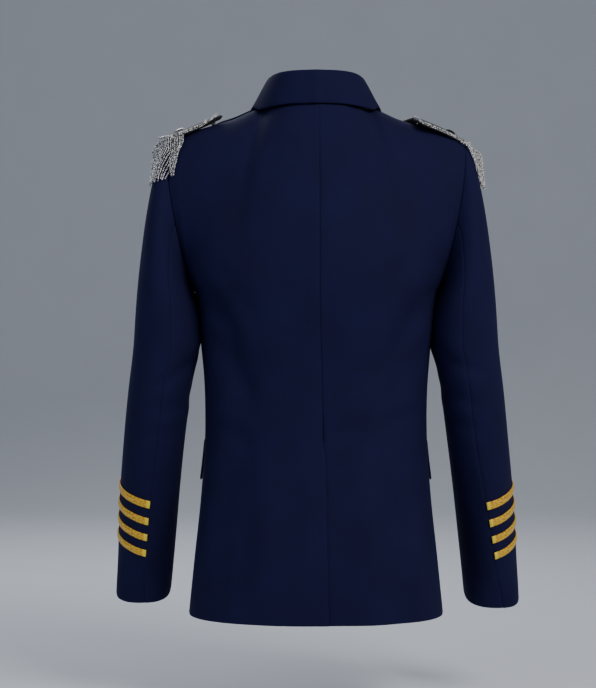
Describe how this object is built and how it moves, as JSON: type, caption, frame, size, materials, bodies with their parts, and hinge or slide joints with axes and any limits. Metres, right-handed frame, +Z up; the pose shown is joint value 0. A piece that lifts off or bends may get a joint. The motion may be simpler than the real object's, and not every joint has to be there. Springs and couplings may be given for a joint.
{
  "type": "double-breasted suit jacket with shoulder boards",
  "caption": "Worn double-breasted jacket in dark cloth with braided cuffs, fringed shoulder boards, turned-down collar and open neck, hem and sleeves.",
  "frame": {"origin": "on the neck's axis at the height of the back neck seam, where the wearer's shoulders and neck carry the jacket", "axes": "+Z up, -Y the way the wearer faces, +X the wearer's left"},
  "size_m": [0.556, 0.2742, 0.7165],
  "materials": {
    "suiting": "fine wool blend twill, matt",
    "gold_braid": "woven metallic braid, satin",
    "button_metal": "polished",
    "board_cloth": "stiffened felt, matt",
    "dark_dome": "satin",
    "silver_metal": "bright ball chain"
  },
  "bodies": {
    "root": {"back_left": "suiting", "front_left": "suiting", "top_sleeve_left": "suiting", "under_sleeve_left": "suiting", "lapel_left": "suiting", "pocket_flap_left": "suiting", "back_right": "suiting", "front_right": "suiting", "top_sleeve_right": "suiting", "under_sleeve_right": "suiting", "lapel_right": "suiting", "pocket_flap_right": "suiting", "collar": "suiting", "stripe_left_1": "gold_braid", "stripe_left_2": "gold_braid", "stripe_left_3": "gold_braid", "stripe_left_4": "gold_braid", "button_left_1": "button_metal", "button_left_2": "button_metal", "button_left_3": "button_metal", "shoulder_board_left": "board_cloth", "board_dome_left": "dark_dome", "board_pin_left": "silver_metal", "fringe_left": "silver_metal", "stripe_right_1": "gold_braid", "stripe_right_2": "gold_braid", "stripe_right_3": "gold_braid", "stripe_right_4": "gold_braid", "button_right_1": "button_metal", "button_right_2": "button_metal", "button_right_3": "button_metal", "shoulder_board_right": "board_cloth", "board_dome_right": "dark_dome", "board_pin_right": "silver_metal", "fringe_right": "silver_metal"}
  },
  "joints": []
}
